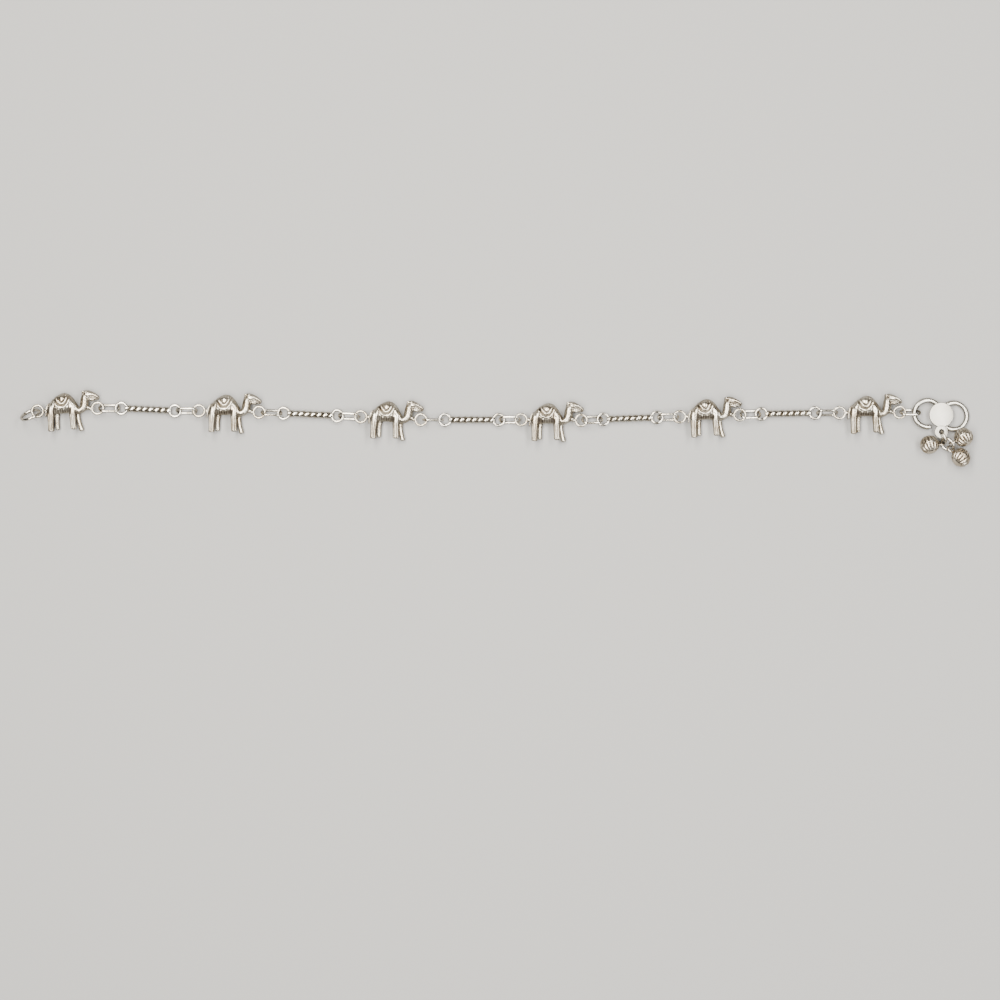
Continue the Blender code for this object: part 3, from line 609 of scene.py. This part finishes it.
# Lines raised on the casting or cut into it, in the same steps: the points that the line curves
# through, half its width, its height in millimetres, below zero where it is cut, and its oxide. The
# lines named shade are painted shade, dark laid where the camel lies in shade, with only a slight cut
CAMEL_LINES = (
    ("outer trim", ((16.6, 10.0), (19.0, 5.4), (22.6, 2.6), (27.6, 2.6), (30.8, 5.6), (33.6, 10.2)),
     0.90, 0.20, 0),
    ("trim slot", ((17.6, 11.4), (20.6, 6.8), (23.4, 4.5), (27.0, 4.4), (29.6, 7.2), (32.2, 11.8)),
     0.55, -0.22, 1),
    ("inner trim", ((18.9, 12.6), (21.8, 8.4), (24.0, 6.4), (26.8, 6.4), (28.9, 8.8), (30.8, 12.8)),
     0.80, 0.17, 0),
    ("cloth slot", ((20.2, 13.9), (22.9, 9.9), (24.8, 8.2), (26.4, 8.2), (28.0, 10.2), (29.4, 13.6)),
     0.50, -0.20, 1),
    ("saddle seat", ((25.6, 11.6), (25.2, 13.6)), 2.0, 0.14, 0),
    # Painted shade along the top edge of the hump
    ("hump shade", ((18.6, 14.2), (23.0, 16.8), (28.0, 17.8), (32.4, 16.4), (35.4, 12.8)),
     0.70, -0.02, 0.65),
    ("hump fold", ((28.8, 16.6), (28.0, 14.6), (26.8, 12.8)), 0.35, -0.12, 0.8),
    ("hump fold", ((31.0, 15.6), (30.2, 13.6), (29.2, 12.0)), 0.35, -0.12, 0.8),
    ("hump fold", ((33.2, 14.2), (32.6, 12.2), (31.6, 10.4)), 0.40, -0.12, 0.8),
    ("hump fold", ((24.0, 17.0), (22.8, 15.4), (21.9, 14.2)), 0.35, -0.10, 0.7),
    ("girth hollow", ((19.2, -1.0), (24.0, -2.0), (31.0, -1.4)), 2.8, -0.22, 0.95),
    ("tassel", ((19.8, 1.6), (19.6, -2.6)), 0.50, 0.13, 0.35),
    ("tassel", ((22.1, 0.4), (22.4, -3.2)), 0.45, 0.12, 0.45),
    ("tassel", ((24.6, 0.2), (24.3, -2.4)), 0.55, 0.14, 0.30),
    ("tassel", ((26.9, 0.2), (27.2, -3.0)), 0.45, 0.12, 0.50),
    ("tassel", ((29.3, 0.8), (29.2, -2.4)), 0.50, 0.13, 0.40),
    ("girth", ((18.8, -4.4), (24.0, -5.0), (31.4, -4.6)), 0.55, 0.10, 0.25),
    ("knot", ((21.8, 0.6), (22.2, 0.4)), 0.85, 0.16, 0.15),
    ("knot", ((26.8, 0.4), (27.4, 0.6)), 0.85, 0.16, 0.15),
    ("flank", ((17.6, 7.4), (17.6, 1.8), (16.9, -4.4)), 0.60, -0.16, 0.9),
    ("thigh", ((14.4, 6.2), (15.4, 1.4), (15.0, -3.4)), 0.35, -0.06, 0.45),
    ("rump", ((12.4, 7.6), (14.8, 9.4), (17.0, 9.2)), 0.50, -0.06, 0.5),
    ("tail gap", ((11.6, 6.2), (10.9, 2.0), (10.5, -3.4)), 0.40, -0.10, 1),
    ("tail hair", ((9.9, 4.4), (9.1, 0.4), (8.7, -5.6)), 0.40, 0.10, 0),
    ("shoulder", ((32.6, 6.4), (32.0, 0.6), (32.4, -4.8)), 0.60, -0.16, 0.9),
    ("shoulder", ((36.4, 8.2), (38.2, 3.4), (38.9, -1.6)), 0.35, -0.05, 0.45),
    ("breast", ((38.9, -1.6), (38.6, -4.2), (38.2, -6.4)), 0.55, -0.12, 0.9),
    # Painted shade down the near legs
    ("hind leg shade", ((13.6, -3.0), (13.2, -12.0), (13.5, -21.0)), 2.2, -0.01, 0.34),
    ("foreleg shade", ((35.3, -4.0), (35.4, -12.0), (36.0, -20.0)), 2.2, -0.01, 0.34),
    ("hind leg groove", ((14.6, -4.6), (14.2, -12.4), (14.3, -19.6)), 0.45, -0.14, 0.95),
    ("hind leg groove", ((12.2, -4.2), (12.2, -12.4), (12.4, -19.6)), 0.35, -0.10, 0.7),
    ("foreleg groove", ((34.4, -5.0), (34.5, -12.4), (35.0, -20.0)), 0.40, -0.13, 0.9),
    ("foreleg groove", ((36.4, -5.0), (36.6, -12.4), (37.2, -20.0)), 0.45, -0.14, 0.95),
    ("far leg groove", ((19.0, -5.6), (19.0, -12.4), (19.2, -18.6)), 0.35, -0.10, 0.8),
    ("mouth", ((61.9, 7.8), (59.6, 8.9), (57.2, 10.3), (54.6, 11.0)), 0.55, -0.24, 1),
    # Painted shade in a band along the top of the head
    ("crest shade", ((51.6, 17.6), (55.4, 16.2), (59.4, 13.9), (62.4, 11.2)), 0.80, -0.02, 0.75),
    ("muzzle slit", ((61.0, 9.6), (58.6, 11.4), (55.4, 12.6), (52.6, 12.4)), 0.75, -0.19, 1),
    ("muzzle ridge", ((61.6, 10.9), (58.8, 13.1), (55.4, 14.6), (51.0, 15.4)), 0.65, 0.13, 0),
    ("nostril", ((61.0, 12.4), (61.9, 11.6)), 0.35, -0.14, 1),
    ("cheek", ((50.0, 11.6), (52.4, 11.9), (54.2, 10.4)), 0.45, -0.12, 0.8),
    ("brow", ((46.2, 17.0), (48.4, 17.2), (50.6, 16.4)), 0.55, 0.10, 0),
    ("eye socket", ((47.3, 14.8), (48.1, 14.8)), 1.30, -0.12, 0.75),
    ("eye rim", ((46.2, 15.7), (47.8, 16.6), (49.4, 15.5)), 0.42, 0.15, 0),
    ("eye rim", ((46.2, 14.0), (47.6, 12.9), (49.2, 13.7)), 0.42, 0.15, 0),
    ("eye", ((47.6, 14.7), (48.1, 14.7)), 1.10, -0.14, 1),
    ("mane", ((44.4, 13.0), (44.0, 8.4), (43.4, 4.4)), 0.40, -0.12, 0.8),
    ("neck fold", ((45.4, 12.2), (48.0, 11.4), (50.6, 10.4)), 0.35, -0.05, 0.35),
    ("neck fold", ((44.6, 9.6), (47.6, 8.6), (50.6, 7.4)), 0.35, -0.05, 0.35),
    ("neck fold", ((44.2, 6.6), (47.2, 5.8), (50.4, 4.4)), 0.35, -0.05, 0.35),
    ("neck fold", ((43.2, 2.6), (46.0, 1.6), (48.8, -0.6)), 0.35, -0.05, 0.35),
    ("throat line", ((46.0, -3.6), (48.8, -0.8), (50.6, 3.2)), 0.45, -0.12, 0.8),
)
RUMP_SOLDER = (1.00 * MM, 0.50 * MM, 0.46 * MM)
THROAT_SOLDER = (0.72 * MM, 0.48 * MM, 0.46 * MM)
RUMP_SOLDER_AT = 2.35 * MM
THROAT_SOLDER_AT = 14.75 * MM
LINE_PIECES = 6  # from one point of a line to the next
LINE_REACH = 1.35  # half widths from its middle, where a line has faded out
LINE_ON_SIDES = 3  # how far down the steep sides a line still runs
LEAST_WEIGHT = 0.01
# The hollows are what lies under the smoothed casting: passes of smoothing, the depth that is dark,
# the share of it where the dark starts, and the most oxide
HOLLOW_PASSES = 14
HOLLOW_DEPTH = 0.035 * MM
HOLLOW_START = 0.15
HOLLOW_OXIDE = 0.8
CAST_SILVER = (0.63, 0.58, 0.48)
CAST_WARM = (0.45, 0.37, 0.26)


def camel_form(name, rows):
    """One form of the camel, bridged through its sections and rounded."""
    bpy.ops.object.select_all(action="DESELECT")
    form = None
    for forward, up, run, reach, depth, aside in rows:
        middle = (forward * PIXEL, up * PIXEL, aside * HALF_DEPTH)
        bpy.ops.mesh.primitive_circle_add(
            vertices=FORM_CORNERS, radius=1, location=middle, rotation=(0, math.pi / 2, 0)
        )
        if form is None:
            form = bpy.context.object
            form.name = name
            settle()
            edit_all()
        bpy.ops.transform.resize(value=(1, reach * PIXEL, depth * HALF_DEPTH), center_override=middle)
        bpy.ops.transform.rotate(value=-math.radians(run), orient_axis="Z", center_override=middle)
    bpy.ops.mesh.select_all(action="SELECT")
    bpy.ops.mesh.bridge_edge_loops()
    close_ends()
    shape_with(form, "SUBSURF", levels=2, render_levels=2)
    return form


def line_distance(places, line):
    """How far each place is from a line that curves through its points."""
    points = [np.array(point) for point in (line[0], *line, line[-1])]
    curve = [points[0]]
    for before, start, end, after in zip(points, points[1:], points[2:], points[3:]):
        for piece in range(1, LINE_PIECES + 1):
            share = piece / LINE_PIECES
            pull = (end - before) * share + (2 * before - 5 * start + 4 * end - after) * share**2
            curve.append(start + (pull + (3 * (start - end) + after - before) * share**3) / 2)
    nearest = np.full(len(places), np.inf)
    for start, end in zip(curve, curve[1:]):
        run = end - start
        share = np.clip(((places - start) @ run) / (run @ run), 0, 1)
        nearest = np.minimum(nearest, np.linalg.norm(places - start - share[:, None] * run, axis=1))
    return nearest


def camel_line(camel, name, line, half_width, height, stain):
    """Raises or cuts a line along both sides of the camel, and gives it its share of oxide, which on the
    shade lines is painted shade.
    """
    places = np.array([vertex.co for vertex in camel.data.vertices])
    facing = np.abs(np.array([vertex.normal.z for vertex in camel.data.vertices]))
    away = line_distance(places[:, :2] / PIXEL, line) / half_width
    weight = np.clip(LINE_REACH - away, 0, 1)
    weight = weight * weight * (3 - 2 * weight) * np.clip(facing * LINE_ON_SIDES, 0, 1)
    group = camel.vertex_groups.new(name=name)
    for index in np.flatnonzero(weight > LEAST_WEIGHT):
        group.add([int(index)], float(weight[index]), "REPLACE")
    shape_with(
        camel, "DISPLACE", vertex_group=group.name, direction="NORMAL", mid_level=0, strength=height * MM
    )
    camel.vertex_groups.remove(camel.vertex_groups[name])
    paint_shade_and_oxide(camel, shade_and_oxide_marks(camel) * (1 - weight) + stain * weight)


def stain_hollows(camel):
    """Adds oxide wherever a point lies below the smoothed casting."""
    bare = np.array([vertex.co for vertex in camel.data.vertices])
    normals = np.array([vertex.normal for vertex in camel.data.vertices])
    smooth = camel.modifiers.new("smooth", "SMOOTH")
    smooth.factor = 0.5
    smooth.iterations = HOLLOW_PASSES
    graph = bpy.context.evaluated_depsgraph_get()
    smoothed = np.array([vertex.co for vertex in camel.evaluated_get(graph).data.vertices])
    camel.modifiers.remove(smooth)
    depth = ((smoothed - bare) * normals).sum(axis=1)
    share = np.clip((depth - HOLLOW_START * HOLLOW_DEPTH) / HOLLOW_DEPTH, 0, 1)
    paint_shade_and_oxide(camel, np.maximum(shade_and_oxide_marks(camel), share * HOLLOW_OXIDE))


camel = joined("camel", [camel_form(name, rows) for name, rows in CAMEL_FORMS.items()])
shape_with(camel, "REMESH", mode="VOXEL", voxel_size=CAST_VOXEL, use_smooth_shade=True)
shape_with(camel, "SMOOTH", factor=0.5, iterations=SOFTENED_ROUNDS)
for name, line, half_width, height, stain in CAMEL_LINES:
    camel_line(camel, name, line, half_width, height, stain)
stain_hollows(camel)
blobs = [solder_blob(RUMP_SOLDER_AT, RUMP_SOLDER), solder_blob(THROAT_SOLDER_AT, THROAT_SOLDER)]
camel = joined("camel", [camel] + eyelets(CAMEL_SPAN) + blobs)
cast_silver = silver_finish(
    "cast silver", CAST_SILVER, CAST_WARM, patina=0.8, polish=0.22, dullness=0.62,
    recess_depth=1.2 * MM, cast_grain=0.020 * MM,
)
for count in range(CAMELS):
    node = f"camel_{count + 1}"
    placed = copy_of(camel, f"{node}_cast")
    set_in_place(placed, eyelet_line(node, CAMEL_SPAN), node, "cast_silver", cast_silver)
bpy.data.objects.remove(camel)

# S clasp
# Thick round wire is bent into two open rings that meet in the middle, where a satin disc is
# soldered over them, and below the disc a round tab with a hole. Its free ends are rounded.
CLASP_RING_OUTER = 8.8 * MM
CLASP_WIRE = 1.35 * MM
CLASP_LEFT_SWEEP = math.radians(286)
CLASP_RIGHT_SWEEP = math.radians(302)
CLASP_HEADING = math.radians(-5.4)
CLASP_RISE = 0.85 * MM
CLASP_CORNERS = 24
CLASP_STEPS = 44
CLASP_CREASE = 60
# A free end is rounded by a few rings, over most of a quarter turn, and a little flattened
CLASP_END_RINGS = 5
CLASP_END_QUARTER = 5.4
CLASP_END_REACH = 0.8
DISC_DIAMETER = 6.8 * MM
DISC_THICKNESS = 0.7 * MM
DISC_SUNK = 0.15 * MM
DISC_BEVEL = 0.12 * MM
DISC_CORNERS = 96
DISC_MATT = 0.6
TAB_OUTER = 3.8 * MM
TAB_HOLE = 1.5 * MM
TAB_SUNK = 0.55 * MM
TAB_LIP = 0.03 * MM
TAB_CORNERS = 72
TAB_WELD = 0.001 * MM
TAB_CREASE = 50
TAB_HEADING = math.radians(-84.6)
SATIN = (0.50, 0.48, 0.42)
SATIN_WARM = (0.43, 0.39, 0.32)
# What lies this near the highest point of the clasp in the frame is its disc's top, and points that
# are the same to so many decimals count once
FLAT_WITHIN = 0.02 * MM
FLAT_DECIMALS = 7

clasp_radius = (CLASP_RING_OUTER - CLASP_WIRE) / 2
disc_level = (CLASP_WIRE + DISC_THICKNESS) / 2 - DISC_SUNK


def clasp_place():
    """Where the clasp lies, from the top of its disc, which is the highest flat of its node."""
    lean = math.asin(CLASP_RISE / (4 * clasp_radius))
    turn = Matrix.Rotation(CLASP_HEADING, 4, "Z") @ Matrix.Rotation(lean, 4, "Y")
    up = turn @ Vector((0, 0, 1))
    points = cad_points("s_clasp")
    heights = points @ np.array(up)
    rim = np.unique(points[heights > heights.max() - FLAT_WITHIN].round(FLAT_DECIMALS), axis=0)
    top = Vector(rim.mean(axis=0))
    return Matrix.Translation(top - up * (disc_level + DISC_THICKNESS / 2)) @ turn


def clasp_ring(centre, start, sweep):
    """One open ring of the clasp, from the disc to its rounded free end."""
    bpy.ops.object.select_all(action="DESELECT")
    bpy.ops.mesh.primitive_circle_add(
        vertices=CLASP_CORNERS,
        radius=CLASP_WIRE / 2,
        location=(centre + clasp_radius * math.cos(start), clasp_radius * math.sin(start), 0),
        rotation=(math.pi / 2, 0, start),
    )
    ring = bpy.context.object
    settle()
    edit_all()
    bpy.ops.mesh.spin(steps=CLASP_STEPS, angle=-sweep, center=(centre, 0, 0), axis=(0, 0, 1))
    last = start + sweep
    end = Vector((centre + clasp_radius * math.cos(last), clasp_radius * math.sin(last), 0))
    onward = Vector((-math.sin(last), math.cos(last), 0)) * math.copysign(1, sweep)
    narrow, gone = 1.0, 0.0
    for step in range(1, CLASP_END_RINGS + 1):
        angle = math.pi / 2 * step / CLASP_END_QUARTER
        out = CLASP_WIRE / 2 * CLASP_END_REACH * math.sin(angle)
        bpy.ops.mesh.extrude_region_move(TRANSFORM_OT_translate={"value": onward * (out - gone)})
        bpy.ops.transform.resize(value=[math.cos(angle) / narrow] * 3, center_override=end + onward * out)
        narrow, gone = math.cos(angle), out
    close_ends(CLASP_CREASE)
    return ring


left_ring = clasp_ring(-clasp_radius, 0, CLASP_LEFT_SWEEP)
right_ring = clasp_ring(clasp_radius, math.pi, CLASP_RIGHT_SWEEP)

bpy.ops.object.select_all(action="DESELECT")
bpy.ops.mesh.primitive_cylinder_add(
    vertices=DISC_CORNERS, radius=DISC_DIAMETER / 2, depth=DISC_THICKNESS, location=(0, 0, disc_level)
)
disc = bpy.context.object
shape_with(disc, "BEVEL", width=DISC_BEVEL, segments=3)
bpy.ops.object.shade_smooth_by_angle(angle=math.radians(WIRE_CREASE))

tab_distance = (DISC_DIAMETER + TAB_OUTER) / 2 - TAB_SUNK
tab_middle = (tab_distance * math.cos(TAB_HEADING), tab_distance * math.sin(TAB_HEADING), disc_level)
tab_edge, tab_hole, tab_top = TAB_OUTER / 2, TAB_HOLE / 2, DISC_THICKNESS / 2
radius, level = tab_edge - DISC_BEVEL, tab_top
bpy.ops.object.select_all(action="DESELECT")
bpy.ops.mesh.primitive_circle_add(vertices=TAB_CORNERS, radius=radius, location=tab_middle)
tab = bpy.context.object
settle()
edit_all()
bpy.ops.transform.translate(value=(0, 0, level))
for next_radius, next_level in (
    # over the rounded edge, down and under
    (tab_edge - DISC_BEVEL * 0.3, tab_top - DISC_BEVEL * 0.3),
    (tab_edge, tab_top - DISC_BEVEL),
    (tab_edge, DISC_BEVEL - tab_top),
    (tab_edge - DISC_BEVEL, -tab_top),
    # up through the hole, over its low lip and back
    (tab_hole + DISC_BEVEL, -tab_top),
    (tab_hole, DISC_BEVEL - tab_top),
    (tab_hole, tab_top - DISC_BEVEL),
    (tab_hole + DISC_BEVEL * 0.4, tab_top + TAB_LIP * 0.7),
    (tab_hole + DISC_BEVEL * 1.2, tab_top + TAB_LIP),
    (tab_hole + DISC_BEVEL * 2.4, tab_top + TAB_LIP * 0.6),
    (tab_hole + DISC_BEVEL * 3.2, tab_top),
    (tab_edge - DISC_BEVEL, tab_top),
):
    rise = (0, 0, next_level - level)
    bpy.ops.mesh.extrude_region_move(TRANSFORM_OT_translate={"value": rise})
    share = next_radius / radius
    bpy.ops.transform.resize(value=(share, share, 1), center_override=tab_middle)
    radius, level = next_radius, next_level
bpy.ops.mesh.select_all(action="SELECT")
bpy.ops.mesh.remove_doubles(threshold=TAB_WELD)
bpy.ops.mesh.normals_make_consistent(inside=False)
bpy.ops.object.mode_set(mode="OBJECT")
bpy.ops.object.shade_smooth_by_angle(angle=math.radians(TAB_CREASE))

for plate in (disc, tab):
    matt = plate.data.attributes.new("matt", "FLOAT", "POINT")
    matt.data.foreach_set("value", [DISC_MATT] * len(plate.data.vertices))
satin_silver = silver_finish(
    "satin silver", SATIN, SATIN_WARM, patina=0.3, polish=0.26, dullness=0.55,
    recess_depth=1.0 * MM, cast_grain=0.003 * MM,
)
clasp = joined("s_clasp_wire", [left_ring, right_ring, disc, tab])
set_in_place(clasp, clasp_place(), "s_clasp", "satin_silver", satin_silver)

# Tab ring and bell ring
# Two jump rings of round wire hang from the tab's hole, and the lower one carries the bells.
TAB_RING_OUTER = 3.9 * MM
TAB_RING_WIRE = 0.6 * MM
BELL_RING_OUTER = 4.4 * MM
BELL_RING_WIRE = 0.7 * MM

tab_ring = bent_ring("tab_ring_wire", TAB_RING_OUTER, TAB_RING_WIRE)
set_in_place(tab_ring, lie_of("tab_ring"), "tab_ring", "wire_silver", wire_silver)
bell_ring = bent_ring("bell_ring_wire", BELL_RING_OUTER, BELL_RING_WIRE)
set_in_place(bell_ring, lie_of("bell_ring"), "bell_ring", "wire_silver", wire_silver)

# Bells
# Each bell is two stamped shells, gadrooned between the flange that joins them and a plain cap at
# each pole, with a wire loop soldered to the flange.
BELL_DIAMETER = 5.5 * MM
BELL_LOOP_OUTER = 2.5 * MM
BELL_LOOP_WIRE = 0.5 * MM
BELL_LOOP_SUNK = 0.4 * MM
BELL_RIDGES = 14
RIDGE_CORNERS = 6
SHELL_WELD = 0.002 * MM
BELLS = 3
# Rings of a half shell from the flange up: distance out and distance up as shares of the bell's
# radius, and how deep the grooves between the ridges are there in millimetres
BELL_ROWS = (
    (0.985, 0.000, 0.00),
    (1.000, 0.030, 0.00),
    (0.985, 0.062, 0.00),
    (0.930, 0.080, 0.03),
    (0.935, 0.170, 0.22),
    (0.925, 0.300, 0.32),
    (0.875, 0.440, 0.34),
    (0.790, 0.580, 0.32),
    (0.660, 0.705, 0.24),
    (0.540, 0.780, 0.06),
    (0.490, 0.790, 0.00),
    (0.450, 0.830, 0.00),
    (0.360, 0.880, 0.00),
    (0.200, 0.915, 0.00),
    (0.060, 0.925, 0.00),
)
# Heights between which it is ridged, as shares of the radius, and the dark seam at both of them
RIDGED = (0.085, 0.765)
SEAM_WIDTH = 0.045
SEAM_OXIDE = 0.8
GROOVE_NARROWS = 2
GROOVE_OXIDE_NARROWS = 1.5
# How far from its two ends the body and the loop of a bell are told apart
BODY_REACH = BELL_DIAMETER * 0.98
LOOP_REACH = BELL_LOOP_OUTER * 0.7
BELL_SILVER = (0.70, 0.63, 0.52)
BELL_WARM = (0.52, 0.42, 0.28)

bell_radius = BELL_DIAMETER / 2
bell_corners = BELL_RIDGES * RIDGE_CORNERS


def between_ridges(point):
    """0 on the crest of a ridge and 1 at the bottom of a groove."""
    return 0.5 - 0.5 * math.cos(math.atan2(point.y, point.x) * BELL_RIDGES)


bpy.ops.object.select_all(action="DESELECT")
bpy.ops.mesh.primitive_circle_add(vertices=bell_corners, radius=BELL_ROWS[0][0] * bell_radius)
shell = bpy.context.object
shell.name = "bell shell"
edit_all()
for (out, up, _), (next_out, next_up, _) in zip(BELL_ROWS, BELL_ROWS[1:]):
    rise = (0, 0, (next_up - up) * bell_radius)
    bpy.ops.mesh.extrude_region_move(TRANSFORM_OT_translate={"value": rise})
    bpy.ops.transform.resize(value=(next_out / out, next_out / out, 1), center_override=(0, 0, 0))
bpy.ops.mesh.edge_face_add()
bpy.ops.object.mode_set(mode="OBJECT")
for vertex in shell.data.vertices:
    row = min(BELL_ROWS, key=lambda entry: abs(entry[1] * bell_radius - vertex.co.z))
    outward = Vector((vertex.co.x, vertex.co.y, 0)).normalized()
    vertex.co -= outward * between_ridges(vertex.co) ** GROOVE_NARROWS * row[2] * MM
shape_with(shell, "MIRROR", use_axis=(False, False, True), merge_threshold=SHELL_WELD)
edit_all()
bpy.ops.mesh.normals_make_consistent(inside=False)
bpy.ops.object.mode_set(mode="OBJECT")
shape_with(shell, "SUBSURF", levels=1, render_levels=1)
bpy.ops.object.shade_smooth()
marks = []
for vertex in shell.data.vertices:
    height = abs(vertex.co.z) / bell_radius
    ridged = 1 if RIDGED[0] < height < RIDGED[1] else 0
    seam = max(1 - min(abs(height - edge) for edge in RIDGED) / SEAM_WIDTH, 0)
    marks.append(max(between_ridges(vertex.co) ** GROOVE_OXIDE_NARROWS * ridged, seam * SEAM_OXIDE))
paint_shade_and_oxide(shell, marks)


def bell_lie(node):
    """Where a bell lies: its body's centre, its run from the loop, its pole and its loop's normal."""
    points = cad_points(node)
    middle = points.mean(axis=0)
    run = np.linalg.svd(points - middle, full_matrices=False)[2][0]
    gone = points @ run
    if abs(gone.max() - middle @ run) > abs(gone.min() - middle @ run):
        run, gone = -run, -gone
    body = points[gone > gone.max() - BODY_REACH]
    loop = points[gone < gone.min() + LOOP_REACH]
    pole = np.linalg.svd(body - body.mean(axis=0), full_matrices=False)[2][0]
    across = np.linalg.svd(loop - loop.mean(axis=0), full_matrices=False)[2][2]
    run = Vector(run)
    axis_point = Vector(middle) - run * Vector(middle).dot(run)
    centre = axis_point + run * (float(gone.max()) - bell_radius)
    return centre, run, Vector(pole), Vector(across)


def lie_along(middle, run, upright):
    """A place at the middle, with X along the run and Z as near upright as that leaves it."""
    upright = (upright - run * upright.dot(run)).normalized()
    return Matrix.Translation(middle) @ Matrix((run, upright.cross(run), upright)).transposed().to_4x4()


bell_silver = silver_finish(
    "bell silver", BELL_SILVER, BELL_WARM, patina=0.8, polish=0.20, dullness=0.60,
    recess_depth=1.0 * MM, cast_grain=0.010 * MM,
)
loop_distance = (BELL_DIAMETER + BELL_LOOP_OUTER) / 2 - BELL_LOOP_SUNK
for count in range(BELLS):
    node = f"bell_{count + 1}"
    centre, run, pole, across = bell_lie(node)
    body = copy_of(shell, f"{node}_shells")
    only(body)
    body.matrix_world = lie_along(centre, run, pole)
    settle()
    loop = bent_ring("loop", BELL_LOOP_OUTER, BELL_LOOP_WIRE)
    loop.matrix_world = lie_along(centre - run * loop_distance, run, across)
    settle()
    bell = joined(f"{node}_shells", [body, loop])
    set_in_place(bell, Matrix.Identity(4), node, "bell_silver", bell_silver)
bpy.data.objects.remove(shell)
